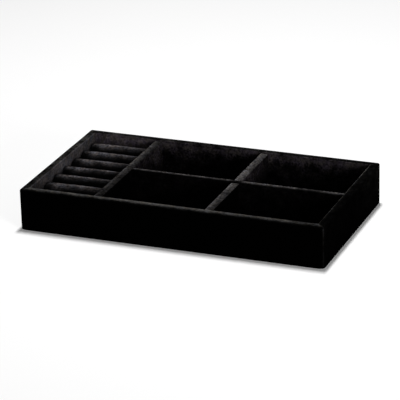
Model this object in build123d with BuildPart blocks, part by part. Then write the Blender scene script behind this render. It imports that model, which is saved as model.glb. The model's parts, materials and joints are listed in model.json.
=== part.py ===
from build123d import *
import os

# A shallow jewelry tray covered in velvet. A rebated board carcass is wrapped in one strip of velvet that
# runs up the outside, over the rim and down the inside. Wrapped boards divide it into a ring bay and four
# compartments: one divider fences off the ring bay, and two others cross in a half lap. Covered cards floor
# the compartments, and foam rolls in velvet sleeves stand side by side in the ring bay.
#
# Millimetres. +X runs along the tray with the ring bay at -X, +Y points to the back and +Z up.
# The origin is the centre of the footprint, on the surface that the tray stands on.

# Overall size
tray_length = 375.0
tray_depth = 210.0
tray_height = 51.0

# Cloth and sheet stock
velvet = 0.8
felt = 1.0
card = 1.5

# Carcass: four boards, and the panel let into their undersides
wall_core = 8.0
board_ease = 0.9
rim_radius = 2.1
corner_radius = 2.3
corner_rabbet = 4.0
panel_thickness = 3.0
panel_lip = 4.0
panel_clearance = 0.2
felt_inset = 2.5
felt_corner_radius = 3.0

# Brads of rectangular wire that pin the corners and the panel
brad_width = 1.25
brad_gauge = 1.0
brad_clearance = 0.05
corner_brad_length = 20.0
corner_brad_margin = 12.0
corner_brad_rows = 2
panel_brad_length = 12.0
panel_brads_along = 4
panel_brads_across = 2

# Dividers
divider_core = 8.0
long_divider_core = 5.4
divider_drop = 1.5
divider_radius = 2.5
divider_end_clearance = 0.1
lap_clearance = 0.2
lap_slack = 0.8

# Ring bay, between the left wall's lining and the ring divider's velvet
ring_bay = 80.0

# Covered floor cards
floor_clearance = 0.3
floor_radius = 1.2

# Ring rolls
roll_count = 7
roll_drop = 8.0
roll_gap = 0.2
roll_end_clearance = 0.3
roll_end_radius = 7.0
roll_end_kink = 0.4
roll_end_bow = 2.4
roll_draw_in = 1.0

# How far every cut runs past the surface it opens
overrun = 1.0

# Plan sizes that follow
wall = wall_core + 2 * velvet
inner_length = tray_length - 2 * wall
inner_depth = tray_depth - 2 * wall
board_length = tray_length - 2 * velvet
board_depth = tray_depth - 2 * velvet
opening_length = board_length - 2 * wall_core
opening_depth = board_depth - 2 * wall_core
pocket_length = opening_length + 2 * panel_lip
pocket_depth = opening_depth + 2 * panel_lip
corner_leaf = wall_core - corner_rabbet

# Heights that follow
board_bottom = felt + velvet
board_top = tray_height - velvet
board_height = board_top - board_bottom
panel_top = felt + panel_thickness
divider_top = tray_height - divider_drop
divider_height = divider_top - panel_top
lap_height = panel_top + divider_height / 2
card_top = panel_top + card
roll_top = tray_height - roll_drop

# Dividers and bays in plan
divider = divider_core + 2 * velvet
long_divider = long_divider_core + 2 * velvet
divider_length = inner_depth - 2 * divider_end_clearance
ring_bay_x = -inner_length / 2 + ring_bay / 2
ring_divider_x = -inner_length / 2 + ring_bay + divider / 2
store_left = ring_divider_x + divider / 2
store_length = inner_length / 2 - store_left
crossing_x = store_left + store_length / 2
long_divider_length = store_length - 2 * divider_end_clearance
cell_length = (store_length - divider) / 2
cell_depth = (inner_depth - long_divider) / 2

os.makedirs("parts", exist_ok=True)


def finish(name, part):
    """Labels a finished piece and writes it under its own name."""
    part.label = name
    export_step(part, "parts/" + name + ".step")


# Brads, and the holes that they fill in the boards

def corner_brad_pattern(clearance):
    """Brads along Y, from each long board's outer face into the short boards' ends."""
    rise = (board_height - 2 * corner_brad_margin) / (corner_brad_rows - 1)
    middle = board_bottom + board_height / 2
    with BuildPart() as pattern:
        with BuildSketch(Plane.XZ.offset(board_depth / 2)):
            with Locations((0, middle)):
                with GridLocations(board_length - wall_core, rise, 2, corner_brad_rows):
                    Rectangle(brad_width + 2 * clearance, brad_gauge + 2 * clearance)
        extrude(amount=-corner_brad_length)
        mirror(about=Plane.XZ)
    return pattern.part


def panel_brad_pattern(clearance):
    """Brads driven up through the panel's lip into the boards above it."""
    step_along = pocket_length / panel_brads_along
    step_across = pocket_depth / panel_brads_across
    with BuildPart() as pattern:
        with BuildSketch(Plane.XY.offset(felt)):
            with GridLocations(step_along, pocket_depth - panel_lip, panel_brads_along, 2):
                Rectangle(brad_width + 2 * clearance, brad_gauge + 2 * clearance)
            with GridLocations(pocket_length - panel_lip, step_across, 2, panel_brads_across):
                Rectangle(brad_gauge + 2 * clearance, brad_width + 2 * clearance)
        extrude(amount=panel_brad_length)
    return pattern.part


with BuildPart() as corner_brads:
    add(corner_brad_pattern(0))
finish("corner_brads", corner_brads.part)

with BuildPart() as panel_brads:
    add(panel_brad_pattern(0))
finish("panel_brads", panel_brads.part)

with BuildPart() as brad_holes:
    add(corner_brad_pattern(brad_clearance))
    add(panel_brad_pattern(brad_clearance))

# Carcass frame: the rim and the outer corners are eased and the underside is rebated after the four boards
# are joined, so each board is cut from this one blank

with BuildPart() as frame_blank:
    with BuildSketch(Plane.XY.offset(board_bottom)):
        Rectangle(board_length, board_depth)
        Rectangle(opening_length, opening_depth, mode=Mode.SUBTRACT)
    extrude(amount=board_height)
    outer_corners = frame_blank.faces().sort_by(Axis.X)[-1].edges().filter_by(Axis.Z)
    outer_corners += frame_blank.faces().sort_by(Axis.X)[0].edges().filter_by(Axis.Z)
    chamfer(outer_corners + frame_blank.faces().sort_by(Axis.Z)[-1].edges(), board_ease)
    with BuildSketch(Plane.XY.offset(board_bottom)):
        Rectangle(pocket_length, pocket_depth)
    extrude(amount=panel_top - board_bottom, mode=Mode.SUBTRACT)

# Long walls: each end is rabbeted on the inside, which leaves a leaf that covers the short wall's end grain

for name, side in (("front_wall", -1), ("back_wall", 1)):
    with BuildPart() as long_wall:
        add(frame_blank.part)
        with BuildSketch(Plane.XY.offset(board_bottom)):
            with Locations((0, side * (board_depth - corner_leaf) / 2)):
                Rectangle(board_length, corner_leaf)
            with Locations((0, side * (board_depth - wall_core) / 2)):
                Rectangle(opening_length, wall_core)
        extrude(amount=board_height, mode=Mode.INTERSECT)
        add(brad_holes.part, mode=Mode.SUBTRACT)
    finish(name, long_wall.part)

# Short walls, housed in the long walls' rabbets

for name, side in (("left_wall", -1), ("right_wall", 1)):
    with BuildPart() as short_wall:
        add(frame_blank.part)
        with BuildSketch(Plane.XY.offset(board_bottom)):
            with Locations((side * (board_length - wall_core) / 2, 0)):
                Rectangle(wall_core, board_depth - 2 * corner_leaf)
        extrude(amount=board_height, mode=Mode.INTERSECT)
        add(brad_holes.part, mode=Mode.SUBTRACT)
    finish(name, short_wall.part)

# Base panel, let into the rebate from below

with BuildPart() as bottom_panel:
    with BuildSketch(Plane.XY.offset(felt)):
        Rectangle(pocket_length - 2 * panel_clearance, pocket_depth - 2 * panel_clearance)
    extrude(amount=panel_thickness)
    add(brad_holes.part, mode=Mode.SUBTRACT)
finish("bottom_panel", bottom_panel.part)

# Felt sheet glued over the underside, a little smaller than the footprint

with BuildPart() as base_felt:
    with BuildSketch(Plane.XY):
        RectangleRounded(tray_length - 2 * felt_inset, tray_depth - 2 * felt_inset, felt_corner_radius)
    extrude(amount=felt)
finish("base_felt", base_felt.part)

# Velvet wrap: one strip, turned in under the walls, carried up the outside, over the rim and down the
# inside to the panel

with BuildPart() as velvet_wrap:
    with BuildSketch(Plane.XY.offset(felt)):
        RectangleRounded(tray_length, tray_depth, corner_radius)
        Rectangle(inner_length, inner_depth, mode=Mode.SUBTRACT)
    extrude(amount=tray_height - felt)
    fillet(velvet_wrap.faces().sort_by(Axis.Z)[-1].edges(), rim_radius)
    chamfer(velvet_wrap.faces().sort_by(Axis.Z)[0].outer_wire().edges(), velvet / 2)
    add(frame_blank.part, mode=Mode.SUBTRACT)
    with BuildSketch(Plane.XY.offset(felt)):
        Rectangle(pocket_length, pocket_depth)
    extrude(amount=panel_top - felt, mode=Mode.SUBTRACT)
finish("velvet_wrap", velvet_wrap.part)

# Half lap: the upper notch in the cross divider takes the long divider, and the lower notch in the long
# divider sits astride the cross divider. The long divider is pushed to the back of the upper notch, so a
# dark line shows in front of it


def upper_notch(lining):
    """Space for the long divider in the cross divider, widened for the lining of its two mouths."""
    with BuildPart() as notch:
        with BuildSketch(Plane.XY.offset(lap_height)):
            with Locations((crossing_x, -lap_slack / 2)):
                Rectangle(divider + 2 * overrun, long_divider + 2 * lap_clearance + lap_slack + 2 * lining)
        extrude(amount=divider_top - lap_height + overrun)
    return notch.part


with BuildPart() as lower_notch:
    with BuildSketch(Plane.XY.offset(panel_top - overrun)):
        with Locations((crossing_x, 0)):
            Rectangle(divider + 2 * lap_clearance, long_divider + 2 * overrun)
    extrude(amount=lap_height - panel_top + overrun)


# Dividers: each is a board with eased top edges, and a velvet sleeve that rounds them over and covers the
# board's faces, top and ends, and the mouths of the upper notch

def divider_board(foot, length, core, lining_notch, lower):
    """A divider's board, standing on the foot plane."""
    with BuildPart() as board:
        with BuildSketch(foot):
            Rectangle(length - 2 * velvet, core)
        extrude(amount=divider_height - velvet)
        if lining_notch:
            add(lining_notch, mode=Mode.SUBTRACT)
        chamfer(board.faces().filter_by(Axis.Z).group_by(Axis.Z)[-1].edges(), board_ease)
        if lower:
            add(lower, mode=Mode.SUBTRACT)
    return board.part


def divider_sleeve(foot, length, core, notch, lower, board):
    """The velvet over a divider's board."""
    with BuildPart() as sleeve:
        with BuildSketch(foot):
            Rectangle(length, core + 2 * velvet)
        extrude(amount=divider_height)
        if notch:
            add(notch, mode=Mode.SUBTRACT)
        fillet(sleeve.faces().filter_by(Axis.Z).group_by(Axis.Z)[-1].edges(), divider_radius)
        if lower:
            add(lower, mode=Mode.SUBTRACT)
        add(board, mode=Mode.SUBTRACT)
    return sleeve.part


along_y = (0, 1, 0)
along_x = (1, 0, 0)
wide_notch = upper_notch(velvet)
narrow_notch = upper_notch(0)
dividers = (
    ("ring_divider", ring_divider_x, along_y, divider_length, divider_core, None, None, None),
    ("cross_divider", crossing_x, along_y, divider_length, divider_core, wide_notch, narrow_notch, None),
    ("long_divider", crossing_x, along_x, long_divider_length, long_divider_core, None, None, lower_notch.part),
)

for name, x, direction, length, core, lining_notch, notch, lower in dividers:
    foot = Plane(origin=(x, 0, panel_top), x_dir=direction, z_dir=(0, 0, 1))
    board = divider_board(foot, length, core, lining_notch, lower)
    sleeve = divider_sleeve(foot, length, core, notch, lower, board)
    finish(name + "_board", board)
    finish(name + "_velvet", sleeve)

# Floors: a card in a velvet cover, dropped into each compartment

cells = (
    ("back_left", -1, 1),
    ("back_right", 1, 1),
    ("front_left", -1, -1),
    ("front_right", 1, -1),
)
floor_length = cell_length - 2 * floor_clearance
floor_depth = cell_depth - 2 * floor_clearance

for name, side_x, side_y in cells:
    cell_x = crossing_x + side_x * (cell_length + divider) / 2
    cell_y = side_y * (cell_depth + long_divider) / 2
    cell = Plane(origin=(cell_x, cell_y, panel_top))

    with BuildPart() as floor_card:
        with BuildSketch(cell):
            Rectangle(floor_length - 2 * velvet, floor_depth - 2 * velvet)
        extrude(amount=card)
    finish("floor_card_" + name, floor_card.part)

    with BuildPart() as floor_velvet:
        with BuildSketch(cell):
            Rectangle(floor_length, floor_depth)
        extrude(amount=card + velvet)
        fillet(floor_velvet.faces().sort_by(Axis.Z)[-1].edges(), floor_radius)
        add(floor_card.part, mode=Mode.SUBTRACT)
    finish("floor_velvet_" + name, floor_velvet.part)

# Ring bay: a card bed, and the rolls glued to it side by side

bed_length = ring_bay - 2 * roll_end_clearance
bed_depth = inner_depth - 2 * roll_end_clearance

with BuildPart() as ring_bed_card:
    with BuildSketch(Plane(origin=(ring_bay_x, 0, panel_top))):
        Rectangle(bed_length, bed_depth)
    extrude(amount=card)
finish("ring_bed_card", ring_bed_card.part)


def roll_form(y, skin):
    """A roll along X, inside its velvet's surface by skin. Its crown is half round, its sides draw in towards
    the card, its ends bow out in plan, and the crown rolls down over them, almost to upright."""
    crown = roll_width / 2 - skin
    top = roll_top - skin
    shoulder = top - crown
    foot = crown - roll_draw_in
    end = bed_length / 2 - skin
    side = crown + overrun
    with BuildPart() as form:
        with BuildSketch(Plane(origin=(ring_bay_x, y, card_top))):
            with BuildLine():
                ThreePointArc((roll_end_bow - end, side), (-end, 0), (roll_end_bow - end, -side))
                ThreePointArc((end - roll_end_bow, side), (end, 0), (end - roll_end_bow, -side))
                Line((roll_end_bow - end, side), (end - roll_end_bow, side))
                Line((roll_end_bow - end, -side), (end - roll_end_bow, -side))
            make_face()
        extrude(amount=top - card_top + overrun)
        with BuildSketch(Plane.YZ.offset(ring_bay_x)):
            with BuildLine():
                ThreePointArc((y + crown, shoulder), (y, top), (y - crown, shoulder))
                TangentArc((y + crown, shoulder), (y + foot, card_top), tangent=(0, -1))
                TangentArc((y - crown, shoulder), (y - foot, card_top), tangent=(0, -1))
                Line((y - foot, card_top), (y + foot, card_top))
            make_face()
        extrude(amount=end + overrun, both=True, mode=Mode.INTERSECT)
        with BuildSketch(Plane.XZ.offset(-y)) as elevation:
            with Locations((ring_bay_x, (card_top - overrun + top) / 2)):
                Rectangle(2 * (end + roll_end_kink), top - card_top + overrun)
            fillet(elevation.vertices().group_by(Axis.Z)[-1], roll_end_radius - skin)
        extrude(amount=side + overrun, both=True, mode=Mode.INTERSECT)
    return form.part


roll_pitch = bed_depth / roll_count
roll_width = roll_pitch - roll_gap

for number in range(roll_count):
    y = (number - (roll_count - 1) / 2) * roll_pitch
    foam_form = roll_form(y, velvet)

    with BuildPart() as foam:
        add(foam_form)
    finish("ring_foam_" + str(number + 1), foam.part)

    with BuildPart() as sleeve:
        add(roll_form(y, 0))
        add(foam_form, mode=Mode.SUBTRACT)
    finish("ring_velvet_" + str(number + 1), sleeve.part)
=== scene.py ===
# %% [markdown]
# # Dressing a velvet jewelry tray
#
# The tray is a shallow carcass of thin boards under black velvet. At its left end seven padded rolls hold
# rings between them, and three covered dividers part the rest into four compartments. The boards, cards and
# brads come from the CAD frame and keep their shape. Everything that is cloth or padding is made again here,
# because cloth is thin, a little uneven and soft at its edges, which a CAD solid can't show.
#
# The frame comes first. Its pieces never move, and each new piece takes its size from them.

# %% Load the frame
import json
import math
import bpy
import numpy as np
from mathutils import Matrix, Vector, noise


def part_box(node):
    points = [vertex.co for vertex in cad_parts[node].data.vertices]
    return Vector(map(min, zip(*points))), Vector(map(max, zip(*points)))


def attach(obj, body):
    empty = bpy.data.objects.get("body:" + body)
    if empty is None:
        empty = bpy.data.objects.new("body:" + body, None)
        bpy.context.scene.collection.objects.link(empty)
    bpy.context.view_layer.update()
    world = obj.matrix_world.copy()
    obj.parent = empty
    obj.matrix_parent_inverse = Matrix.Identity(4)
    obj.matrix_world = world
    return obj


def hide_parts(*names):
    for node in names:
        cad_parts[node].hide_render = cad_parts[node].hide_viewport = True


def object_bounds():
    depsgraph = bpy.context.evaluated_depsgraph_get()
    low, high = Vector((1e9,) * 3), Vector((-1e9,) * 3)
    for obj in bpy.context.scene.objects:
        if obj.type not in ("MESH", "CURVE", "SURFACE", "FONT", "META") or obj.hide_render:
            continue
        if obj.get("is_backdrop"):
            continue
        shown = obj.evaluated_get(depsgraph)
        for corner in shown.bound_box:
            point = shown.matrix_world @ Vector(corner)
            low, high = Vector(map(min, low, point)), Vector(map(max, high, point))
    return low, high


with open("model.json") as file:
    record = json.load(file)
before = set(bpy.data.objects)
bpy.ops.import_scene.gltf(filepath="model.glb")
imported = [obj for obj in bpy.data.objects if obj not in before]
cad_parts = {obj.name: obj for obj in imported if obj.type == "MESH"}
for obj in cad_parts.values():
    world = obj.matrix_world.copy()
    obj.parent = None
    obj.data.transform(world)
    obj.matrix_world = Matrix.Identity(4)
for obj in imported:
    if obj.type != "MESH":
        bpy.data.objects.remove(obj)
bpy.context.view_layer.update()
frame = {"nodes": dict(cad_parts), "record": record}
MM = 0.001

# %% [markdown]
# ## The camera
#
# The photograph was taken from far away with a long lens, so the tray's edges stay almost parallel. A camera
# is fitted from its place, the point that it looks at, and a slight roll. A lens of 221 mm on a 36 mm
# sensor gives the same narrow view.

# %% Place the camera
EYE = Vector((1.0010, -2.4969, 1.1135))
AIM = Vector((-0.0207, 0.0458, 0.0))
ROLL = math.radians(-1.505)
LENS_MM = 220.8
SENSOR_MM = 36.0
NEAREST, FARTHEST = 0.1, 50.0  # what the camera can see, in metres from it


def add_object(name, data):
    """Puts a mesh, camera or lamp in the scene."""
    thing = bpy.data.objects.new(name, data)
    bpy.context.scene.collection.objects.link(thing)
    return thing


def look_at(place, aim, roll=0.0):
    """The matrix of a camera or a lamp that stands at place and faces aim."""
    turn = (Vector(aim) - Vector(place)).to_track_quat("-Z", "Y").to_matrix().to_4x4()
    return Matrix.Translation(place) @ turn @ Matrix.Rotation(roll, 4, "Z")


camera_data = bpy.data.cameras.new("camera")
camera_data.lens = LENS_MM
camera_data.sensor_width = SENSOR_MM
camera_data.clip_start = NEAREST
camera_data.clip_end = FARTHEST
camera = add_object("camera", camera_data)
camera.matrix_world = look_at(EYE, AIM, ROLL)
bpy.context.scene.camera = camera
print("camera to aim, m:", round((AIM - EYE).length, 3))

# %% [markdown]
# ## Sizes read from the frame
#
# The velvet's thickness is the step between the carcass and its wrap, and the wall is a board with velvet on
# both sides. Reading them keeps the dressing right when the CAD changes.

# %% Read the sizes
wrap_low, wrap_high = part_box("velvet_wrap")
left_low, left_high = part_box("left_wall")
felt_low, felt_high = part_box("base_felt")
long_low, long_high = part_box("long_divider_velvet")
cross_low, cross_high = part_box("cross_divider_velvet")
VELVET = left_low.x - wrap_low.x
WALL = left_high.x - wrap_low.x + VELVET
HALF_X, HALF_Y = wrap_high.x, wrap_high.y
TOP = wrap_high.z
FLOOR_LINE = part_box("bottom_panel")[1].z  # the base panel's top
FOOT_RISE = 1.0 * MM  # how far above the panel a foot begins to spread
FOOT_SPREAD = 0.22 * MM
CELL = 4 * MM  # how long the mesh's faces are along a straight run
print("velvet, wall, mm:", round(VELVET / MM, 2), round(WALL / MM, 2))

# %% [markdown]
# ## Helpers for meshes
#
# A sheet of cloth is made as one skin of four-sided faces. A Solidify modifier then gives it its thickness on
# the hidden side. Glued cloth is never quite flat, so every skin is pushed out by up to a fifth of a
# millimetre with a smooth noise. It is only pushed outward, so it never sinks into its board.
#
# Two values are kept on the points for the material. The first says how pale the pile looks, both where it is
# brushed over and where light and shade are painted on it, and *mottle* how much it varies from tuft to tuft.

# %% Mesh helpers
def ease(low, high, value):
    """0 up to low and 1 from high on, with a smooth step between."""
    t = np.clip((np.asarray(value, float) - low) / (high - low), 0, 1)
    return t * t * (3 - 2 * t)


def rise(least, low, high, value):
    """The least up to low and 1 from high on, with a smooth step between."""
    return least + (1 - least) * ease(low, high, value)


def make_piece(name, points, faces):
    """A smooth-shaded mesh object with that name."""
    mesh = bpy.data.meshes.new(name)
    mesh.from_pydata([tuple(p) for p in points], [], [tuple(f) for f in faces])
    mesh.shade_smooth()
    return add_object(name, mesh)


def read(piece, normals=False):
    """The piece's points, or its normals."""
    source, key = (piece.data.vertex_normals, "vector") if normals else (piece.data.vertices, "co")
    rows = np.zeros(3 * len(source), np.float32)
    source.foreach_get(key, rows)
    return rows.reshape(-1, 3).astype(float)


def write(piece, points):
    """Moves the piece's points."""
    piece.data.vertices.foreach_set("co", np.asarray(points, np.float32).ravel())
    piece.data.update()


def ripple(points, size, seed):
    """Smooth noise from about -1 to 1 at each point, whose bumps have that size. Each seed has its own."""
    shift = Vector((seed, 2.3 * seed, -1.7 * seed))
    return np.array([noise.noise(Vector(p) / size + shift) for p in points])


def roughen(piece, height, size, seed):
    """Pushes the cloth outward by 0 to height, in soft bumps of that size. Its foot on the panel stays put."""
    points = read(piece)
    lift = height * (0.5 + 0.5 * np.clip(ripple(points, size, seed), -1, 1))
    lift = lift * ease(FLOOR_LINE, FLOOR_LINE + 2 * FOOT_RISE, points[:, 2])
    write(piece, points + read(piece, normals=True) * lift[:, None])


def note(piece, name, values):
    """Keeps a number at each point for the material, or one at all of them."""
    values = np.broadcast_to(np.asarray(values, np.float32), len(piece.data.vertices))
    piece.data.attributes.new(name, "FLOAT", "POINT").data.foreach_set("value", values)


def wear(piece, *materials):
    """Gives the piece its materials, in that order."""
    for material in materials:
        piece.data.materials.append(material)


def thicken(piece):
    """Gives a skin the velvet's thickness, on the side away from its normals."""
    solid = piece.modifiers.new("thickness", "SOLIDIFY")
    solid.thickness = VELVET
    solid.offset = -1
    solid.use_even_offset = True


# %% [markdown]
# ## The velvet wrap
#
# On the real tray one strip of velvet is glued up the outside of the four walls, over the rim and down the
# inside. Its outer edge is turned in under the walls, and at each corner it is cut to a mitre.
#
# It could be made with a profile curve and a bevel, but then the corners would be hard to control. So the
# section is written down once, as a list of insets and heights, and it is carried round the tray's outline.
# At the corners the outline turns through a small arc, the mitre is pressed a little into the top, and the
# fold at the foot is drawn up.

# %% The wrap's section: inset from the outer face, and height
RIM_RADIUS = 2.1 * MM
INNER_RADIUS = 1.0 * MM
HEM_RADIUS = 0.3 * MM
HEM_END = 4.8 * MM
FOLD_WIDTH = 2.2 * MM  # the fold stands down beside the felt, almost to the table
FOLD_DROP = 0.95 * MM
SHOULDER_IN, SHOULDER_DOWN = 0.3 * MM, 0.4 * MM  # the fold's inner side starts steeply
FOLD_SLANT = 0.7 * MM
ARC_STEPS, HEM_STEPS = 6, 4
FACE_STEPS, RIM_STEPS = 14, 5


def arc(centre, radius, start, end, steps):
    """Points of an arc in the section's plane, from start to end in degrees."""
    angles = np.radians(np.linspace(start, end, steps + 1))
    return [(centre[0] + radius * math.cos(a), centre[1] + radius * math.sin(a)) for a in angles]


def run(start, end, steps):
    """Points along a straight run, without its two ends."""
    start, end = np.array(start), np.array(end)
    return [tuple(start + (end - start) * t) for t in np.linspace(0, 1, steps + 1)[1:-1]]


base = wrap_low.z
fold_low = base - FOLD_DROP
fold = [(FOLD_WIDTH, base), (FOLD_WIDTH - SHOULDER_IN, base - SHOULDER_DOWN), (FOLD_WIDTH - FOLD_SLANT, fold_low)]
hem_arc = arc((HEM_RADIUS, fold_low + HEM_RADIUS), HEM_RADIUS, 270, 180, HEM_STEPS)
outer_arc = arc((RIM_RADIUS, TOP - RIM_RADIUS), RIM_RADIUS, 180, 90, ARC_STEPS)
inner_arc = arc((WALL - INNER_RADIUS, TOP - INNER_RADIUS), INNER_RADIUS, 90, 0, ARC_STEPS)
inner_foot = [(WALL, FLOOR_LINE + FOOT_RISE), (WALL + 0.4 * FOOT_SPREAD, FLOOR_LINE + FOOT_RISE / 2),
              (WALL + FOOT_SPREAD, FLOOR_LINE)]
section = [(HEM_END, base), *fold, *hem_arc]
section += run(hem_arc[-1], outer_arc[0], FACE_STEPS) + outer_arc
section += run(outer_arc[-1], inner_arc[0], RIM_STEPS) + inner_arc
section += run(inner_arc[-1], inner_foot[0], FACE_STEPS) + inner_foot
print("section points:", len(section))

# %% The outline's stations: wall number, place along the wall from -1 to 1, and corner angle
CORNER_RADIUS = 2.3 * MM
FOLD_RADIUS = 0.8 * MM  # the least radius, at the wrap's inside
CORNER_STEPS = 8
WALLS = FRONT, RIGHT, BACK, LEFT = range(4)
along = np.array([(1, 0), (0, 1), (-1, 0), (0, -1)], float)
outward = np.array([(0, -1), (1, 0), (0, 1), (-1, 0)], float)
half_along = (HALF_X, HALF_Y, HALF_X, HALF_Y)
half_out = (HALF_Y, HALF_X, HALF_Y, HALF_X)

stations = []
for wall in WALLS:
    count = round(2 * half_along[wall] / CELL)
    stations += [(wall, f, 0.0) for f in np.linspace(-1, 1, count + 1)]
    stations += [(wall, 1.0, a) for a in np.linspace(0, 90, CORNER_STEPS + 1)[1:-1]]
print("stations round the tray:", len(stations))

# %% Carry the section round the outline
MITRE_DEPTH = 0.35 * MM
MITRE_WIDTH = 15.0  # degrees of the corner's turn
FOOT_LIFT = 0.9 * MM  # how far a corner draws up the fold
LIFT_REACH = 3.2 * MM  # along the outline
LIFT_HEIGHT = 2 * MM  # up from the wrap's lower edge
LIFT_DEPTH = 4 * MM  # in from the outer face


def outline_point(station, inset):
    """Where the outline at that inset passes a station, in plan."""
    wall, f, angle = station
    radius = max(CORNER_RADIUS - inset, FOLD_RADIUS)
    reach = half_along[wall] - inset - radius
    if angle == 0:
        return along[wall] * f * reach + outward[wall] * (half_out[wall] - inset)
    a = math.radians(angle)
    corner = along[wall] * reach + outward[wall] * (half_out[wall] - inset - radius)
    return corner + radius * (outward[wall] * math.cos(a) + along[wall] * math.sin(a))


def from_corner(station):
    """How far a station is from the middle of the nearest corner, along the outline."""
    wall, f, angle = station
    half_turn = CORNER_RADIUS * math.pi / 4
    if angle:
        return half_turn * abs(angle - 45) / 45
    return half_turn + (1 - abs(f)) * (half_along[wall] - CORNER_RADIUS)


wrap_points, wrap_facts = [], []
for station in stations:
    wall, f, angle = station
    press = MITRE_DEPTH * math.exp(-((angle - 45) / MITRE_WIDTH) ** 2) if angle else 0.0
    lift = FOOT_LIFT * math.exp(-(from_corner(station) / LIFT_REACH) ** 2)
    for inset, height in section:
        sunk = press * float(ease(TOP - RIM_RADIUS, TOP, height))
        sunk -= lift * float(ease(base + LIFT_HEIGHT, fold_low, height) * ease(LIFT_DEPTH, 0, inset))
        wrap_points.append((*outline_point(station, inset), height - sunk))
        wrap_facts.append((wall if angle < 45 else (wall + 1) % 4, f, inset, height, angle))

rows, columns = len(stations), len(section)
wrap_faces = []
for i in range(rows):
    here, beyond = i * columns, (i + 1) % rows * columns
    wrap_faces += [(here + j, beyond + j, beyond + j + 1, here + j + 1) for j in range(columns - 1)]
wrap = make_piece("wrap", wrap_points, wrap_faces)
roughen(wrap, height=0.15 * MM, size=26 * MM, seed=1.0)
thicken(wrap)
print("wrap:", len(wrap_faces), "faces")

# %% How the wrap's pile lies, and its painted light and shade, wall by wall
# The strip's pile points up on the outside, so it looks black from above. On the rim and the inside it is
# laid over, and it looks paler. Each wall has its own tones: across its rim from the outer edge to the inner one,
# down its inner face, and along its length. They hold partly how each wall's strip was brushed when it was glued,
# and partly painted light and shade: a painted sheen highlight on the front rim's inner half and along the right
# wall's inner edge, a painted pool of light in the middle of the front rim, painted light near the top of the
# inner faces and painted shade that darkens them downward.
RIM_MARKS = (0, 0.15, 0.75, 0.92, 1)  # share of the wall's thickness
RIM_PILE_AND_LIGHT = {
    FRONT: (0.00, 0.04, 0.60, 0.52, 0.25),
    RIGHT: (0.01, 0.02, 0.02, 0.06, 1.75),
    BACK: (0.10, 0.10, 0.05, 0.04, 0.06),
    LEFT: (0.07, 0.08, 0.055, 0.075, 0.15),
}
DEPTH_MARKS = np.array((0, 3, 12, 18, 45)) * MM  # below the rim
INNER_PILE_AND_LIGHT = {
    FRONT: (0.04, 0.02, 0.02, 0.02, 0.02),
    RIGHT: (1.40, 0.03, 0.02, 0.02, 0.02),
    BACK: (0.12, 0.28, 0.07, 0.045, 0.02),
    LEFT: (0.42, 0.48, 0.53, 0.16, 0.02),
}
BAY_PILE_AND_LIGHT = (0.36, 0.95, 0.56, 0.41, 0.20)  # the back wall's inner face behind the rolls: painted light near the top, painted shade below
LENGTH_MARKS = (-1, 0, 1)  # a wall's start, middle and end
RIM_ALONG_PILE_AND_LIGHT = {FRONT: (0.8, 1.08, 0.38), RIGHT: (0.45, 0.6, 1.55), BACK: (0.2, 1.2, 1.8), LEFT: (3.2, 3.0, 0.6)}
INNER_ALONG_PILE_AND_LIGHT = {FRONT: (1, 1, 1), RIGHT: (0.45, 0.6, 1.55), BACK: (1.7, 1.3, 1.9), LEFT: (1.0, 1.3, 0.6)}
OUTER_TONES = {FRONT: (0, 0, 0), RIGHT: (0.005, 0.001, 0.021), BACK: (0.02,) * 3, LEFT: (0.02,) * 3}
RIGHT_FOOT = (0.3, 0.1 * TOP, 0.8 * TOP)  # least tone low down, and the heights that it rises between
RIM_START, RIM_FULL = 1.2 * RIM_RADIUS, 0.2 * RIM_RADIUS  # below the top
POST_TONE = 0.05  # the pile stands a little open along the outer corners
POST_WIDTH = 30.0  # degrees of the corner's turn
POST_TOP = 4 * MM
POST_FOOT = (0.25, 0.5 * TOP, TOP)
MOTTLE, MOTTLE_DROP = 0.95, 0.55  # of standing pile, and how much less laid pile has
DROP_START, DROP_END = 0.1, 0.4
bay_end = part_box("ring_divider_velvet")[0].x

wall_of, along_of, inset_of, height_of, angle_of = np.array(wrap_facts).T
x_of = np.array(wrap_points)[:, 0]
wrap_lay_and_light = np.zeros(len(wrap_points))
for wall in WALLS:
    here = wall_of == wall
    f, inset, height = along_of[here], inset_of[here], height_of[here]
    rim = np.interp(inset / WALL, RIM_MARKS, RIM_PILE_AND_LIGHT[wall]) * np.interp(f, LENGTH_MARKS, RIM_ALONG_PILE_AND_LIGHT[wall])
    face = np.interp(TOP - height, DEPTH_MARKS, INNER_PILE_AND_LIGHT[wall]) * np.interp(f, LENGTH_MARKS, INNER_ALONG_PILE_AND_LIGHT[wall])
    outer = np.interp(f, LENGTH_MARKS, OUTER_TONES[wall])
    if wall == BACK:
        face = np.where(x_of[here] < bay_end, np.interp(TOP - height, DEPTH_MARKS, BAY_PILE_AND_LIGHT), face)
    if wall == RIGHT:
        outer = outer * rise(*RIGHT_FOOT, height)
    on_rim = np.where(inset < RIM_RADIUS, ease(TOP - RIM_START, TOP - RIM_FULL, height), 1)
    inside = ease(WALL - INNER_RADIUS, WALL, inset)
    wrap_lay_and_light[here] = outer * (1 - on_rim) + on_rim * (rim * (1 - inside) + face * inside)
post = np.where((angle_of > 0) & (inset_of < RIM_RADIUS), np.exp(-((angle_of - 45) / POST_WIDTH) ** 2), 0)
wrap_lay_and_light += POST_TONE * post * ease(TOP, TOP - POST_TOP, height_of) * rise(*POST_FOOT, height_of)
note(wrap, "lay_and_light", wrap_lay_and_light)
note(wrap, "mottle", MOTTLE - MOTTLE_DROP * ease(DROP_START, DROP_END, wrap_lay_and_light))
print("palest point of the wrap:", round(float(wrap_lay_and_light.max()), 2))

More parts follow.
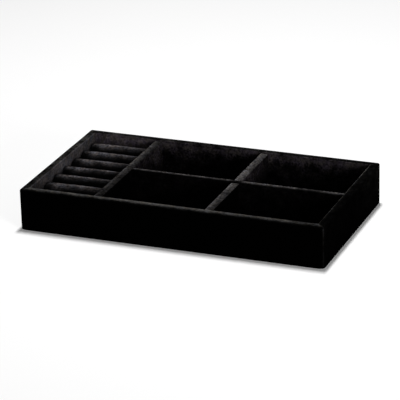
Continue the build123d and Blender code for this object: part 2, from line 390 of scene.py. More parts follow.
# %% [markdown]
# ## Covered blocks
#
# A divider is a board in a velvet sleeve, and a compartment's floor is a card in a velvet cover. Both are
# blocks with rounded edges and sometimes a notch, open underneath.
#
# A bevel makes such edges well, but it leaves long thin faces that can't carry soft unevenness. So a block
# is ruled into cells along three rulers, whose lines stand close together near the edges. The skin is every
# cell face with nothing beyond it. Each of its points is then drawn in to a rounded edge.

# %% Rulers, cells and rounded edges
ROUND_STEPS = 4
LEAST_SPAN = 2.5  # a shorter stretch, in radii, gets no close lines
QUAD = ((0, 0), (1, 0), (1, 1), (0, 1))


def ruler(low, high, radius, step=CELL, lines=()):
    """Lines from low to high: close together within a radius of each end and of each named line."""
    shares = 1 - np.tan(np.radians(np.linspace(45, 0, ROUND_STEPS + 1)))
    stops = [low, *sorted(lines), high]
    marks = [low]
    for a, b in zip(stops, stops[1:]):
        near = [a + radius * s for s in shares] if b - a > LEAST_SPAN * radius else [a]
        far = [b - (m - a) for m in near[::-1]]
        count = max(1, round((far[0] - near[-1]) / step))
        marks += near + list(np.linspace(near[-1], far[0], count + 1)) + far
    return np.unique(np.round(marks, 8))


def skin(rulers, solid, keep):
    """Points and faces of the cells' skin. solid(x, y, z) says where cells are, keep(axis, side, x, y, z) which
    faces are cloth."""
    middles = [(r[:-1] + r[1:]) / 2 for r in rulers]
    filled = solid(*np.meshgrid(*middles, indexing="ij"))
    padded = np.pad(filled, 1)
    numbers, points, faces = {}, [], []

    def number(index):
        if index not in numbers:
            numbers[index] = len(points)
            points.append([rulers[k][index[k]] for k in range(3)])
        return numbers[index]

    for axis in range(3):
        one, other = (k for k in range(3) if k != axis)
        for side in (0, 1):
            beyond = np.roll(padded, 1 if side == 0 else -1, axis)[1:-1, 1:-1, 1:-1]
            for cell in np.argwhere(filled & ~beyond):
                place = [middles[k][cell[k]] for k in range(3)]
                place[axis] = rulers[axis][cell[axis] + side]
                if not keep(axis, side, *place):
                    continue
                ring = []
                for a, b in QUAD:
                    index = [0, 0, 0]
                    index[axis], index[one], index[other] = cell[axis] + side, cell[one] + a, cell[other] + b
                    ring.append(number(tuple(index)))
                faces.append(ring if (side == 1) == (axis != 1) else ring[::-1])
    return np.array(points), faces


def everywhere(x, y, z):
    """A block without a notch."""
    return np.ones(x.shape, bool)


def rounded(points, low, high, radius_low, radius_high):
    """Draws the points of a box's skin in to rounded edges. A radius may differ by point and axis."""
    inner = np.clip(points, low + radius_low, high - radius_high)
    off = points - inner
    radius = np.where(off < 0, radius_low, radius_high)
    share = np.divide(off, radius, out=np.zeros_like(off), where=radius > 0)
    length = np.maximum(np.linalg.norm(share, axis=1, keepdims=True), 1)
    return inner + off / length


# %% [markdown]
# ## The divider sleeves
#
# The ring divider and the cross divider are 9.6 mm thick and the long divider is 7 mm. The cross divider has
# a notch from above, lined with velvet at its two mouths, and the long divider a notch from below. The long
# one sits at the back of the upper notch, so a thin dark line is left in front of it.

# %% Make the three sleeves
TOP_RADIUS = 1.2 * MM
POST_RADIUS = 0.9 * MM  # of the upright edges
MOUTH_RADIUS = 3.2 * MM
MOUTH_GROWTH = 2 * MM  # over which a mouth's edges get round, from the notch's floor
OPEN_FOOT = 4 * TOP_RADIUS  # how far a block reaches on below, so that its foot isn't rounded
POST_END = 4 * TOP_RADIUS  # below the top, where the upright edges start to widen
END_ZONE = 1 * MM  # a face as near to a block's end as this isn't in its notch
LAP_CLEARANCE = 0.2 * MM
LAP_SLACK = 0.8 * MM
TOUCH = 1e-7
lap = (cross_low.z + cross_high.z) / 2


def sleeve(kind, notch=None, upper=False):
    """The sleeve of that divider, from its CAD node's box. notch is the notch's low and high along it."""
    low, high = (np.array(c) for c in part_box(kind + "_divider_velvet"))
    run_axis = int(np.argmax((high - low)[:2]))
    across = 1 - run_axis
    lines = [(), (), [low[2] + FOOT_RISE]]
    if notch:
        lines[run_axis] = notch
        lines[2] += [lap]
    rulers = [ruler(low[k], high[k], TOP_RADIUS, lines=lines[k]) for k in range(3)]

    def solid(x, y, z):
        if not notch:
            return everywhere(x, y, z)
        place = (x, y)[run_axis]
        within = (place > notch[0]) & (place < notch[1])
        return ~(within & (z > lap)) if upper else ~(within & (z < lap))

    def keep(axis, side, x, y, z):
        if axis == 2:
            return side == 1 and z > high[2] - END_ZONE
        mouth = axis == run_axis and low[axis] + END_ZONE < (x, y)[axis] < high[axis] - END_ZONE
        return not mouth or upper

    points, faces = skin(rulers, solid, keep)
    place, height = points[:, run_axis], points[:, 2]
    near_top = ease(high[2] - POST_END, high[2] - TOP_RADIUS, height)
    radius_low = np.stack([POST_RADIUS + (TOP_RADIUS - POST_RADIUS) * near_top] * 3, 1)
    radius_high = radius_low.copy()
    block_low, block_high = np.tile(low, (len(points), 1)), np.tile(high, (len(points), 1))
    if upper:
        mouth = (POST_RADIUS + (MOUTH_RADIUS - POST_RADIUS) * near_top) * ease(lap, lap + MOUTH_GROWTH, height)
        before = (place <= notch[0] + TOUCH) & (height > lap - TOUCH)
        after = (place >= notch[1] - TOUCH) & (height > lap - TOUCH)
        block_high[before, run_axis], radius_high[before, run_axis] = notch[0], mouth[before]
        block_low[after, run_axis], radius_low[after, run_axis] = notch[1], mouth[after]
    block_low[:, 2] -= OPEN_FOOT
    points = rounded(points, block_low, block_high, radius_low, radius_high)
    spread = FOOT_SPREAD * ease(low[2] + FOOT_RISE, low[2], points[:, 2])
    points[:, across] += spread * np.sign(points[:, across] - (low[across] + high[across]) / 2)
    piece = make_piece(kind + "_divider_sleeve", points, faces)
    roughen(piece, height=0.12 * MM, size=22 * MM, seed=2.0 + run_axis)
    thicken(piece)
    print(piece.name, len(faces), "faces")
    return piece


upper_notch = (long_low.y - LAP_CLEARANCE - LAP_SLACK, long_high.y + LAP_CLEARANCE)
lower_notch = (cross_low.x - LAP_CLEARANCE, cross_high.x + LAP_CLEARANCE)
sleeves = {
    "ring": sleeve("ring"),
    "cross": sleeve("cross", upper_notch, upper=True),
    "long": sleeve("long", lower_notch),
}

# %% How the sleeves' pile lies, and their painted sheen, light and shade
# The tops carry a painted sheen highlight along one edge: the left edge of the ring divider and the cross
# divider, and the back edge of the long one. Their tones change at the crossing, where the long divider's top also
# gets painted shade. The right sides of the ring and cross dividers get painted light in the back compartments,
# most of all near the top, with painted shade that darkens them downward, and stay dark in the front ones.
ACROSS_MARKS = (0, 0.12, 0.3, 1)
SLEEVE_SHEEN_TONES = {  # in front of the crossing, and behind it
    "ring": ((0.50, 0.33, 0.15, 0.08), (0.29, 0.46, 0.27, 0.06)),
    "cross": ((1.55, 0.95, 0.33, 0.17), (0.92, 0.85, 0.53, 0.20)),
}
CHANGE = (-10 * MM, 10 * MM)  # where the first tones give way to the second ones
FRONT_END = {"ring": 0.75, "cross": 0.48}  # how pale a top stays at the front wall
FRONT_STRETCH = (-95 * MM, -30 * MM)
SIDE_LIGHT_TONES = {"ring": (0.09, 0.18), "cross": (0.15, 0.04)}  # painted light at the middle, and at the back wall
BACK_STRETCH = (30 * MM, 95 * MM)
SIDE_SHADE_FADE = (10 * MM, 46 * MM)  # painted shade, below the top
LONG_SHEEN_TONES = ((1.8, 6.0), (0.7, 1.3))  # painted sheen highlight: tone and steepness towards the back edge, at the left and the right
LONG_CHANGE = (0.0, 90 * MM)
LONG_SIDE_TONE = 0.02
LAP_SHADE = (0.15, 4 * MM, 11 * MM)  # least tone at the crossing, and where it rises to full
TOP_START, TOP_FULL = 1.1 * TOP_RADIUS, 0.3 * TOP_RADIUS  # below the top
SLEEVE_MOTTLE, SLEEVE_DROP = 0.9, 0.12
for name, piece in sleeves.items():
    across = 1 if name == "long" else 0
    points = read(piece)
    low, high = points.min(0), points.max(0)
    share = (points[:, across] - low[across]) / (high[across] - low[across])
    along_it, height = points[:, 1 - across], points[:, 2]
    if name == "long":
        first, second = (tone * share ** steepness for tone, steepness in LONG_SHEEN_TONES)
        change = ease(*LONG_CHANGE, along_it)
        shown = rise(*LAP_SHADE, np.abs(along_it - (cross_low.x + cross_high.x) / 2))
        side_light_and_shade = LONG_SIDE_TONE
    else:
        first, second = (np.interp(share, ACROSS_MARKS, tones) for tones in SLEEVE_SHEEN_TONES[name])
        change = ease(*CHANGE, along_it)
        shown = rise(FRONT_END[name], *FRONT_STRETCH, along_it)
        at_middle, at_back = SIDE_LIGHT_TONES[name]
        side_light_and_shade = at_middle + (at_back - at_middle) * ease(*BACK_STRETCH, along_it)
        side_light_and_shade *= (1 - ease(*SIDE_SHADE_FADE, high[2] - height)) * change * (share > 0.5)
    top_sheen_and_shade = shown * (first * (1 - change) + second * change)
    on_top = ease(high[2] - TOP_START, high[2] - TOP_FULL, height)
    lay_and_light = on_top * top_sheen_and_shade + (1 - on_top) * side_light_and_shade
    note(piece, "lay_and_light", lay_and_light)
    note(piece, "mottle", SLEEVE_MOTTLE - SLEEVE_DROP * on_top)
    print(name, "divider, palest point:", round(float(lay_and_light.max()), 2))

# %% [markdown]
# ## The floors of the compartments
#
# Each compartment has a card in a velvet cover, dropped in loose. Only its top and its rounded edge show.

# %% Make the floor covers
CELLS = ("back_left", "back_right", "front_left", "front_right")
FLOOR_RADIUS = 1.2 * MM
FLOOR_TONE, FLOOR_MOTTLE = 0.025, 0.9
floor_covers = []
for number, cell in enumerate(CELLS):
    low, high = (np.array(c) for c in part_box("floor_velvet_" + cell))
    rulers = [ruler(low[k], high[k], FLOOR_RADIUS) for k in range(3)]
    points, faces = skin(rulers, everywhere, lambda axis, side, x, y, z: axis < 2 or side)
    points = rounded(points, low - (0, 0, OPEN_FOOT), high, FLOOR_RADIUS, FLOOR_RADIUS)
    cover = make_piece("floor_cover_" + cell, points, faces)
    roughen(cover, height=0.2 * MM, size=18 * MM, seed=5.0 + number)
    note(cover, "lay_and_light", FLOOR_TONE)
    note(cover, "mottle", FLOOR_MOTTLE)
    thicken(cover)
    floor_covers.append(cover)
print("floor covers:", len(floor_covers))

# %% [markdown]
# ## The felt sheet underneath
#
# Felt is cut square at its edge, so only its corners are rounded, in plan.

# %% Make the felt
FELT_CORNER = 3 * MM
FELT_CELL = 6 * MM
low, high = np.array(felt_low), np.array(felt_high)
rulers = [ruler(low[k], high[k], FELT_CORNER, step=FELT_CELL) for k in range(2)]
rulers += [np.array([low[2], high[2]])]
points, faces = skin(rulers, everywhere, lambda axis, side, x, y, z: True)
plan = rounded(points[:, :2], low[:2], high[:2], FELT_CORNER, FELT_CORNER)
felt_sheet = make_piece("felt_sheet", np.column_stack([plan, points[:, 2]]), faces)
print("felt:", len(faces), "faces")

# %% [markdown]
# ## The ring rolls
#
# Seven foam bars stand side by side, each in a velvet sleeve that is glued to a card. A real one is a half
# round on top, squeezed flat by its neighbours, and pulled down over its ends, at some further than at
# others. The best way to get such a skin is to let it swell: a slightly small loaf is blown up as cloth, it
# is held at its foot, and its neighbours' places stop it at the sides.

# %% A loaf to start from
ROLLS = 7
AROUND, LENGTHWISE, CAP_RINGS = 56, 40, 6  # points round a roll, steps along it, rings at each end
CROWN_STEPS, SIDE_STEPS = 24, 8
START_SHRINK = 0.8 * MM
DRAW_IN = 1.0 * MM  # how much narrower a loaf is at each side of its foot
END_BOW = 0.8 * MM
BOW_SHARPNESS = 0.9
END_TIP = 0.1 * MM
PULL_DROP = 0.45  # how far the crest comes down at an end, as a share of the pull
# How far in from its left and right end each roll is pulled down, front roll first
LEFT_PULL = np.array([1.8, 2.4, 2.0, 2.2, 2.0, 1.6, 1.6]) * MM
RIGHT_PULL = np.array([6.0, 5.5, 6.5, 6.0, 6.2, 5.5, 5.0]) * MM


def loaf_ring(half, top, foot):
    """The section of a roll, counter-clockwise from the middle of its foot: across and height."""
    shoulder = top - half
    turns = np.linspace(0, math.pi, CROWN_STEPS + 1)
    crown = [(half * math.cos(a), shoulder + half * math.sin(a)) for a in turns]
    side = [(half - DRAW_IN * (1 - t) ** 2, foot + (shoulder - foot) * t)
            for t in np.linspace(0, 1, SIDE_STEPS + 1)[:-1]]
    outline = np.array([(0, foot)] + side + crown + [(-a, b) for a, b in side[::-1]] + [(0, foot)])
    walked = np.concatenate([[0], np.cumsum(np.linalg.norm(np.diff(outline, axis=0), axis=1))])
    at = np.linspace(0, walked[-1], AROUND + 1)[:-1]
    return np.stack([np.interp(at, walked, outline[:, k]) for k in range(2)], 1)


def loaf(number):
    """Points and faces of a roll's starting shape, and the two corners of the roll's place."""
    low, high = (np.array(c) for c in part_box("ring_velvet_" + str(number + 1)))
    low[:2] += START_SHRINK
    high -= START_SHRINK
    middle, half, foot = (low[1] + high[1]) / 2, (high[1] - low[1]) / 2, low[2]
    inner_low, inner_high = low[0] + END_BOW, high[0] - END_BOW
    rings = []
    for x in np.linspace(inner_low, inner_high, LENGTHWISE + 1):
        drop = 0.0
        for edge, pull in ((x - inner_low, LEFT_PULL[number]), (inner_high - x, RIGHT_PULL[number])):
            if edge < pull:
                drop = max(drop, PULL_DROP * pull * (1 - math.sqrt(1 - (1 - edge / pull) ** 2)))
        ring = loaf_ring(half, high[2] - drop, foot)
        rings.append(np.column_stack([np.full(AROUND, x), middle + ring[:, 0], ring[:, 1]]))
    for side, ring in ((-1, rings[0]), (1, rings[-1])):
        centre = ring.mean(0)
        caps = []
        for turn in np.arange(1, CAP_RINGS) / CAP_RINGS * math.pi / 2:
            cap = centre + (ring - centre) * math.cos(turn) ** BOW_SHARPNESS
            cap[:, 0] += side * END_BOW * math.sin(turn)
            caps.append(cap)
        rings = caps[::-1] + rings if side < 0 else rings + caps
    after = [(j + 1) % AROUND for j in range(AROUND)]
    starts = [AROUND * i for i in range(len(rings))]
    faces = [(a + j, a + after[j], b + after[j], b + j) for a, b in zip(starts, starts[1:]) for j in range(AROUND)]
    left_tip, right_tip = AROUND * len(rings), AROUND * len(rings) + 1
    faces += [(left_tip, after[j], j) for j in range(AROUND)]
    faces += [(right_tip, starts[-1] + j, starts[-1] + after[j]) for j in range(AROUND)]
    tips = [rings[0].mean(0) - (END_TIP, 0, 0), rings[-1].mean(0) + (END_TIP, 0, 0)]
    return np.concatenate([*rings, tips]), faces, low - START_SHRINK, high + START_SHRINK


# %% Blow the loaves up as cloth
# Each roll gets a painted highlight in a pale strip along its crest, which leans from the front to the back towards
# the right end. Its face gets painted light that darkens towards the valleys, by a share and a steepness of its own
# at each roll, and painted shade makes it darkest at the ends.
PRESSURE = 4.0
FRAMES = 20
GLUED = 2.5 * MM  # how high up the foot is held
FARTHEST_MOVE = 1.6 * MM
TINY = 1e-9
CORE_INSET = 1.15  # in thicknesses of the velvet
ROLL_LAY_AND_LIGHT = 0.70
ROLL_MOTTLE = 0.65
# Painted light: a narrow highlight on the crest and broader light on the face, fading as the surface turns from up
CREST_HIGHLIGHT_POWER = 40
FACE_LIGHT_SHARE = (0.28, 0.72, 0.38, 0.46, 0.62, 0.62, 0.62)
FACE_LIGHT_POWER = (8.0, 6.5, 8.0, 8.8, 7.0, 6.0, 6.0)
LEAN_MARKS, LEANS = (0.1, 0.55, 0.85), (-4, 10, 14)  # share of the length from the left, and degrees
PATCH_SIZE, PATCH_SWING = 28 * MM, 0.5
# Painted shade at the ends: least tone at an end, and between which distances from it the tone rises to full
FACE_LEFT_SHADE, FACE_RIGHT_SHADE = (0.08, 8 * MM, 19 * MM), (0.35, 4 * MM, 26 * MM)
CREST_LEFT_SHADE = (0.7, 3 * MM, 12 * MM)
ROLL_RIGHT_SHADE = (0.5, 2 * MM, 20 * MM)


def swell(piece, foot):
    """Runs the cloth for a few frames and gives its points. The foot is pinned."""
    pins = piece.vertex_groups.new(name="glued")
    held = [v.index for v in piece.data.vertices if v.co.z < foot + GLUED]
    pins.add(held, 1.0, "REPLACE")
    cloth = piece.modifiers.new("swell", "CLOTH")
    settings = cloth.settings
    settings.vertex_group_mass = "glued"
    settings.use_pressure = True
    settings.uniform_pressure_force = PRESSURE
    settings.effector_weights.gravity = 0
    settings.quality = 6
    settings.mass = 0.2
    settings.tension_stiffness = settings.compression_stiffness = 25
    settings.bending_stiffness = 2.0
    cloth.collision_settings.use_collision = False
    cloth.point_cache.frame_start = 1
    cloth.point_cache.frame_end = FRAMES
    scene = bpy.context.scene
    for f in range(1, FRAMES + 1):
        scene.frame_set(f)
    shown = piece.evaluated_get(bpy.context.evaluated_depsgraph_get())
    moved = np.array([v.co for v in shown.data.vertices], float)
    piece.modifiers.remove(cloth)
    scene.frame_set(1)
    return moved


def note_roll(roll, number, low, high):
    """Notes the roll's tones between those corners: a painted highlight on the crest, painted light and shade on
    the face.
    """
    points, normals = read(roll), read(roll, normals=True)
    from_left, from_right = points[:, 0] - low[0], high[0] - points[:, 0]
    lean = np.radians(np.interp(from_left / (high[0] - low[0]), LEAN_MARKS, LEANS))
    facing = np.clip(normals[:, 2] * np.cos(lean) + normals[:, 1] * np.sin(lean), 0, 1)
    patchy = 1 + PATCH_SWING * ripple(points, PATCH_SIZE, 9.0 + number)
    face = FACE_LIGHT_SHARE[number] * patchy * facing ** FACE_LIGHT_POWER[number]
    face *= rise(*FACE_LEFT_SHADE, from_left) * rise(*FACE_RIGHT_SHADE, from_right)
    crest = (1 - FACE_LIGHT_SHARE[number]) * facing ** CREST_HIGHLIGHT_POWER * rise(*CREST_LEFT_SHADE, from_left)
    note(roll, "lay_and_light", ROLL_LAY_AND_LIGHT * rise(*ROLL_RIGHT_SHADE, from_right) * (face + crest))
    note(roll, "mottle", ROLL_MOTTLE)


rolls, cores = [], []
for number in range(ROLLS):
    points, faces, low, high = loaf(number)
    roll = make_piece("ring_roll_" + str(number + 1), points, faces)
    start = read(roll)
    moved = swell(roll, low[2])
    step = moved - start
    length = np.linalg.norm(step, axis=1, keepdims=True)
    step *= np.minimum(1, FARTHEST_MOVE / np.maximum(length, TINY))
    write(roll, np.clip(start + step, low, high))
    print(roll.name, "swelled by up to", round(float(length.max()) / MM, 2), "mm")
    note_roll(roll, number, low, high)
    smooth = roll.modifiers.new("smooth", "SUBSURF")
    smooth.levels = smooth.render_levels = 1
    core = make_piece("roll_core_" + str(number + 1), read(roll), faces)
    write(core, read(core) - read(core, normals=True) * VELVET * CORE_INSET)
    thicken(roll)
    rolls.append(roll)
    cores.append(core)

# %% [markdown]
# ## Velvet as a material
#
# Velvet is short pile standing on a cloth. Seen from straight above the pile swallows the light, and seen
# low across the surface its sides catch it, so every rounded edge gets a soft pale line. That is what sheen
# does. What sheen can't do is show where the pile has been brushed over, so a group adds it to the colour:
# soft blotches a centimetre wide, flecks of a few millimetres, and fine tufts under a millimetre. The same
# colour also carries the painted highlights, painted light and painted shade that the points' values hold.

# %% Small helpers for nodes
KINDS = {1: "NodeSocketFloat", 3: "NodeSocketVector", 4: "NodeSocketColor"}  # by how many numbers one holds


def connect(tree, node, inputs):
    """Links each input that is given a socket, and sets the others."""
    for key, value in inputs.items():
        if isinstance(value, bpy.types.NodeSocket):
            tree.links.new(value, node.inputs[key])
        else:
            node.inputs[key].default_value = value


def add_node(tree, kind, inputs=None, **settings):
    """Adds a node with those settings and inputs."""
    node = tree.nodes.new(kind)
    for key, value in settings.items():
        setattr(node, key, value)
    connect(tree, node, inputs or {})
    return node


def calc(tree, operation, *values, clamp=False):
    """What a Math node makes of those numbers and sockets."""
    inputs = dict(enumerate(values))
    return add_node(tree, "ShaderNodeMath", inputs, operation=operation, use_clamp=clamp).outputs[0]


def spots(tree, vector, scale, detail, roughness=0.5):
    """Soft noise from 0 to 1, with that many spots a metre."""
    inputs = {"Vector": vector, "Scale": scale, "Detail": detail, "Roughness": roughness}
    return add_node(tree, "ShaderNodeTexNoise", inputs).outputs["Fac"]


def remap(tree, value, low, high, to_low=0.0, to_high=1.0):
    """The value, carried from between low and high to between to_low and to_high."""
    inputs = {"Value": value, "From Min": low, "From Max": high, "To Min": to_low, "To Max": to_high}
    return add_node(tree, "ShaderNodeMapRange", inputs).outputs["Result"]


def mix_colours(tree, share, first, second):
    """The first colour at a share of 0 and the second at 1."""
    inputs = {"Factor": share, "A": first, "B": second}
    return add_node(tree, "ShaderNodeMix", inputs, data_type="RGBA").outputs["Result"]


def new_group(name, inputs):
    """A group that gives a colour, a roughness and a normal, and its two end nodes."""
    group = bpy.data.node_groups.new(name, "ShaderNodeTree")
    for key, value in inputs.items():
        socket = group.interface.new_socket(key, in_out="INPUT", socket_type=KINDS[np.size(value)])
        socket.default_value = value
    for key, numbers in (("Colour", 4), ("Roughness", 1), ("Normal", 3)):
        group.interface.new_socket(key, in_out="OUTPUT", socket_type=KINDS[numbers])
    return group, group.nodes.new("NodeGroupInput"), group.nodes.new("NodeGroupOutput")


def new_material(name, group, values, on_shader):
    """A material whose shader takes what on_shader sets, and the rest from the group. Gives its node too."""
    material = bpy.data.materials.new(name)
    material.use_nodes = True
    tree = material.node_tree
    node = add_node(tree, "ShaderNodeGroup", values, node_tree=group)
    taken = dict(zip(("Base Color", "Roughness", "Normal"), node.outputs))
    connect(tree, tree.nodes["Principled BSDF"], taken | on_shader)
    return material, node


# %% The pile group
HUE_SPOTS = 160.0  # spots of the second hue a metre
HUE_RANGE = (0.38, 0.62)  # noise values between which it comes in
CLOUD_RANGE = (0.34, 0.66)
TUFT_RANGE = (0.3, 0.7)
TUFT_SHOWN = (0.4, 0.93)  # how much of the brushed pile shows between the tufts, and on them
PILE_ROUGH = (1.0, 0.85)  # where the pile stands, and where it lies
PILE_DEPTH = 0.3 * MM
pile, given, gives = new_group("velvet pile", {
    "Deep": (0.0006, 0.0006, 0.0006, 1), "Brushed": (0.1, 0.1, 0.1, 1), "Second hue": (0.1, 0.08, 0.1, 1),
    "Lay_and_light": 0.0, "Mottle": 0.4, "Blotch size": 0.014, "Fleck size": 0.0026, "Tuft size": 0.0007, "Relief": 0.4,
})
where = add_node(pile, "ShaderNodeTexCoord").outputs["Object"]


def swing(size, detail):
    """1 plus or minus up to the mottle, in soft spots of that size."""
    cloudy = spots(pile, where, calc(pile, "DIVIDE", 1.0, given.outputs[size]), detail, roughness=0.62)
    return calc(pile, "MULTIPLY_ADD", remap(pile, cloudy, *CLOUD_RANGE, -1.0, 1.0), given.outputs["Mottle"], 1.0)


tuft = spots(pile, where, calc(pile, "DIVIDE", 1.0, given.outputs["Tuft size"]), 2.0, roughness=0.6)
hue = remap(pile, spots(pile, where, HUE_SPOTS, 2.0), *HUE_RANGE)
brushed = mix_colours(pile, hue, given.outputs["Brushed"], given.outputs["Second hue"])
uneven = calc(pile, "MULTIPLY", swing("Blotch size", detail=4.0), swing("Fleck size", detail=2.0))
# The points' first value brings the pile's brushing and the painted light and shade into the colour here.
laid = calc(pile, "MULTIPLY", given.outputs["Lay_and_light"], uneven)
pale = calc(pile, "MULTIPLY", laid, remap(pile, tuft, *TUFT_RANGE, *TUFT_SHOWN), clamp=True)
relief = {"Strength": given.outputs["Relief"], "Distance": PILE_DEPTH, "Height": tuft}
connect(pile, gives, {
    "Colour": mix_colours(pile, pale, given.outputs["Deep"], brushed),
    "Roughness": remap(pile, pale, 0, 1, *PILE_ROUGH),
    "Normal": add_node(pile, "ShaderNodeBump", relief).outputs["Normal"],
})
print("pile group:", len(pile.nodes), "nodes")

# %% Velvets
# Each velvet has two hues for its brushed pile, a strength of sheen and the sheen's tint.
DEEP, DEEPEST = 0.0006, 0.0003  # the colour of standing pile
WARM = ((0.162, 0.150, 0.132), (0.142, 0.143, 0.150))
GREY = ((0.161, 0.148, 0.138), (0.146, 0.142, 0.151))
COOL = ((0.143, 0.140, 0.160), (0.163, 0.142, 0.138))
PLUM = ((0.158, 0.131, 0.168), (0.160, 0.137, 0.132))
SAND, PEARL, ROSE, LILAC = (1.0, 0.98, 0.95), (1.0, 0.97, 0.98), (1.0, 0.92, 0.98), (0.95, 0.88, 1.0)


def velvet(name, hues, sheen, tint, deep=DEEP):
    """A velvet whose pile, painted light and painted shade are as the points' two values say."""
    values = {"Deep": (deep, deep, deep, 1), "Brushed": (*hues[0], 1), "Second hue": (*hues[1], 1)}
    on_shader = {"Specular IOR Level": 0.0, "Sheen Weight": sheen, "Sheen Roughness": 0.4, "Sheen Tint": (*tint, 1)}
    material, node = new_material(name, pile, values, on_shader)
    tree = material.node_tree
    for key in ("Lay_and_light", "Mottle"):
        attribute = add_node(tree, "ShaderNodeAttribute", attribute_name=key.lower())
        connect(tree, node, {key: attribute.outputs["Fac"]})
    return material


outside_velvet = velvet("velvet outside", WARM, 0.0006, SAND, deep=DEEPEST)
lining_velvet = velvet("velvet inside", WARM, 0.006, PEARL)
back_velvet = velvet("velvet inside the back", PLUM, 0.006, ROSE)
lit_top_velvet = velvet("velvet divider tops", GREY, 0.006, PEARL)
shaded_side_velvet = velvet("velvet divider sides in painted shade", PLUM, 0.003, ROSE)
roll_velvet = velvet("velvet rolls", COOL, 0.004, LILAC)
floor_velvet = velvet("velvet floors", PLUM, 0.004, LILAC)
print("velvets:", sum(m.name.startswith("velvet") for m in bpy.data.materials))

# %% Give each skin its velvet
# The wrap's lining starts behind the rounded outer edge, at the right wall half-way across the rim. The back
# and the left wall have hues of their own from near their inner edge on.
OUTSIDE_SLOT, LINING_SLOT, BACK_SLOT, LEFT_SLOT = range(4)
RIGHT_START, OWN_START = 0.5 * WALL, 0.8 * WALL
STEEP = 0.35  # a sleeve's face whose normal rises less than this belongs to a side
wear(wrap, outside_velvet, lining_velvet, back_velvet, roll_velvet)
lined = []
for n in range(len(wrap_faces)):
    station, j = divmod(n, columns - 1)
    wall, inset, height = stations[station][0], *section[j]
    start = RIGHT_START if wall == RIGHT else RIM_RADIUS
    inside = inset >= start and height > TOP - RIM_RADIUS or inset > WALL - INNER_RADIUS
    own = {BACK: BACK_SLOT, LEFT: LEFT_SLOT}.get(wall, LINING_SLOT) if inset > OWN_START else LINING_SLOT
    lined.append(own if inside else OUTSIDE_SLOT)
wrap.data.polygons.foreach_set("material_index", lined)
# The sleeves' sides take a shaded copy of the tops' velvet, with less sheen and a plum hue, as painted shade.
for piece in sleeves.values():
    wear(piece, lit_top_velvet, shaded_side_velvet)
    piece.data.polygons.foreach_set("material_index", [int(f.normal.z < STEEP) for f in piece.data.polygons])
for piece in floor_covers:
    wear(piece, floor_velvet)
for piece in rolls:
    wear(piece, roll_velvet)
print("faces of the wrap's lining:", sum(slot != OUTSIDE_SLOT for slot in lined), "of", len(lined))

# %% [markdown]
# ## Felt, board, card, foam and steel
#
# These hardly show, but the tray may be lifted or taken apart, so each gets its own finish. Pressed fibres,
# paper fibres, foam cells and wool all are small specks of a lighter and a darker colour with a relief of
# their own, so one group serves them, at different sizes.

# %% The fibre group
CLOUD_SPOTS = 30.0  # a metre
CLOUD_SHARE = 0.35
SPECK_RANGE = (0.45, 0.9)  # noise values between which dark turns to light
FIBRE_ROUGH = (0.75, 1.0)
fibre, given, gives = new_group("fibre specks", {
    "Light": (0.5, 0.4, 0.3, 1), "Dark": (0.3, 0.2, 0.1, 1), "Speck size": 0.001, "Stretch": (1.0, 1.0, 1.0),
    "Relief": 0.3, "Depth": 0.0002,
})
where = add_node(fibre, "ShaderNodeTexCoord").outputs["Object"]
stretched = add_node(fibre, "ShaderNodeVectorMath", {0: where, 1: given.outputs["Stretch"]}, operation="MULTIPLY")
grain = spots(fibre, stretched.outputs[0], calc(fibre, "DIVIDE", 1.0, given.outputs["Speck size"]), 5.0, 0.65)
both = calc(fibre, "MULTIPLY_ADD", spots(fibre, where, CLOUD_SPOTS, 2.0), CLOUD_SHARE, grain)
relief = {"Strength": given.outputs["Relief"], "Distance": given.outputs["Depth"], "Height": grain}
connect(fibre, gives, {
    "Colour": mix_colours(fibre, remap(fibre, both, *SPECK_RANGE), given.outputs["Dark"], given.outputs["Light"]),
    "Roughness": remap(fibre, grain, 0, 1, *FIBRE_ROUGH),
    "Normal": add_node(fibre, "ShaderNodeBump", relief).outputs["Normal"],
})
print("fibre group:", len(fibre.nodes), "nodes")


# %% The finishes
def fibres(name, light, dark, size, stretch=(1, 1, 1), relief=0.3, depth=0.2 * MM, gloss=0.2, sheen=0.0, metal=0.0,
           **on_shader):
    """A finish of small specks. More of the shader's inputs may be set by name."""
    values = {"Light": (*light, 1), "Dark": (*dark, 1), "Speck size": size, "Stretch": stretch, "Relief": relief,
              "Depth": depth}
    on_shader |= {"Metallic": metal, "Specular IOR Level": gloss, "Sheen Weight": sheen}
    return new_material(name, fibre, values, on_shader)[0]


finishes = {
    "felt": fibres("black felt", (0.01, 0.01, 0.011), (0.003, 0.003, 0.003), 0.9 * MM, relief=0.5, depth=0.3 * MM,
                   gloss=0.05, sheen=0.01),
    "board": fibres("pressed board", (0.42, 0.29, 0.17), (0.22, 0.14, 0.08), 1.2 * MM, stretch=(0.25, 1, 1)),
    "card": fibres("grey card", (0.36, 0.34, 0.31), (0.22, 0.21, 0.19), 0.7 * MM, relief=0.2),
    "foam": fibres("dark foam", (0.10, 0.10, 0.11), (0.03, 0.03, 0.035), 0.8 * MM, relief=1.0, depth=0.5 * MM),
    "steel": fibres("brad steel", (0.62, 0.61, 0.60), (0.45, 0.44, 0.43), 0.5 * MM, stretch=(1, 1, 0.1),
                    gloss=0.5, metal=1.0, Roughness=0.35),
}
wear(felt_sheet, finishes["felt"])
for core in cores:
    wear(core, finishes["foam"])

slots = {part["node"]: part["material_slot"] for part in frame["record"]["subparts"]}
for name, node in frame["nodes"].items():
    finish = finishes.get(slots.get(name))
    if finish:
        node.data.materials.clear()
        wear(node, finish)
print("nodes with a finish:", sum(slots.get(n) in finishes for n in frame["nodes"]))

# %% [markdown]
# ## Seat every piece on the frame
#
# Each new piece is hung on the frame's root, and the CAD nodes that it stands for are hidden.

every_piece = [wrap, *sleeves.values(), felt_sheet, *floor_covers, *rolls, *cores]
for piece in every_piece:
    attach(piece, "root")

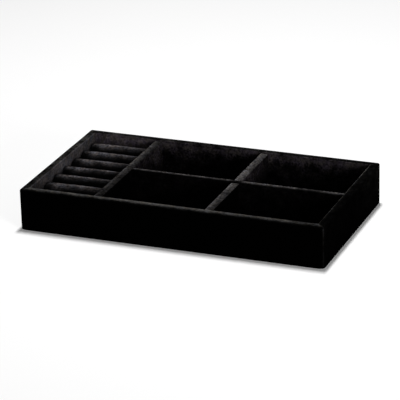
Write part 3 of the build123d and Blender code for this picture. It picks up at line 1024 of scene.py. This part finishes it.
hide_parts("velvet_wrap")
for kind, piece in sleeves.items():
    low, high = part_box(kind + "_divider_velvet")
    size = high - low
    thickness, length = min(size.x, size.y), max(size.x, size.y)
    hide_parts(kind + "_divider_velvet")
for cover, cell in zip(floor_covers, CELLS):
    low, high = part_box("floor_velvet_" + cell)
    size = high - low
    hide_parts("floor_velvet_" + cell)
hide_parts("base_felt")
for number, (roll, core) in enumerate(zip(rolls, cores), 1):
    low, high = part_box("ring_velvet_" + str(number))
    size = high - low
    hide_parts("ring_velvet_" + str(number))
    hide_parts("ring_foam_" + str(number))
print("pieces:", len(every_piece))

# %% [markdown]
# ## Floor and light
#
# The tray stands on a white floor in soft studio light. The white of the picture comes from the floor's
# colour and, for the camera alone, from a small lift. The light on the tray stays plain, and the floor keeps
# its shadow.

# %% The floor
FLOOR_HALF = 6.0
FLOOR_WHITE = 0.97
FLOOR_LIFT = 0.1


def seen(tree):
    """1 for the camera, straight or by way of a glossy or a clear surface, and 0 for the rest."""
    paths = add_node(tree, "ShaderNodeLightPath")
    straight = calc(tree, "MAXIMUM", paths.outputs["Is Camera Ray"], paths.outputs["Is Glossy Ray"])
    return calc(tree, "MAXIMUM", straight, paths.outputs["Is Transmission Ray"])


floor_mesh = bpy.data.meshes.new("studio_floor")
floor_corners = [(a * FLOOR_HALF, b * FLOOR_HALF, 0) for a, b in ((-1, -1), (1, -1), (1, 1), (-1, 1))]
floor_mesh.from_pydata(floor_corners, [], [(0, 1, 2, 3)])
add_object("studio_floor", floor_mesh)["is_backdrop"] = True
floor_material = bpy.data.materials.new("studio floor")
floor_material.use_nodes = True
tree = floor_material.node_tree
connect(tree, tree.nodes["Principled BSDF"], {
    "Base Color": (FLOOR_WHITE, FLOOR_WHITE, FLOOR_WHITE, 1), "Roughness": 1.0, "Specular IOR Level": 0.0,
    "Emission Color": (1, 1, 1, 1), "Emission Strength": calc(tree, "MULTIPLY", seen(tree), FLOOR_LIFT),
})
floor_mesh.materials.append(floor_material)
print("floor, m:", 2 * FLOOR_HALF)

# %% The light
CENTRE = (0, 0, 0)
WORLD_LIGHT, WORLD_SEEN = 0.1, 1.0  # how bright the world is for the tray, and for the camera


def soft_light(name, place, width, depth, watts):
    """A soft box of that width and depth that faces the tray."""
    data = bpy.data.lights.new(name, "AREA")
    data.shape = "RECTANGLE"
    data.size = width
    data.size_y = depth
    data.energy = watts
    add_object(name, data).matrix_world = look_at(place, CENTRE)


soft_light("soft box above", (-0.035, 0.31, 2.3), width=0.19, depth=0.5, watts=44)
soft_light("soft box front right", (2.0, -1.4, 0.52), width=0.7, depth=0.7, watts=26)

world = bpy.data.worlds.new("studio")
bpy.context.scene.world = world
world.use_nodes = True
tree = world.node_tree
strength = remap(tree, seen(tree), 0, 1, WORLD_LIGHT, WORLD_SEEN)
connect(tree, tree.nodes["Background"], {"Color": (1, 1, 1, 1), "Strength": strength})
bpy.context.scene.view_settings.view_transform = "Standard"
print("lights:", len(bpy.data.lights))

# %% [markdown]
# ## The dressed tray's box
#
# The size of the box round everything that renders, apart from the floor, is printed in millimetres.
# The dressed tray has to stay inside the CAD box, apart from what the cloth may stand proud.

# %% Print the visual box
low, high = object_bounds()
print("visual box, mm:", [round((h - l) / MM, 1) for l, h in zip(low, high)])
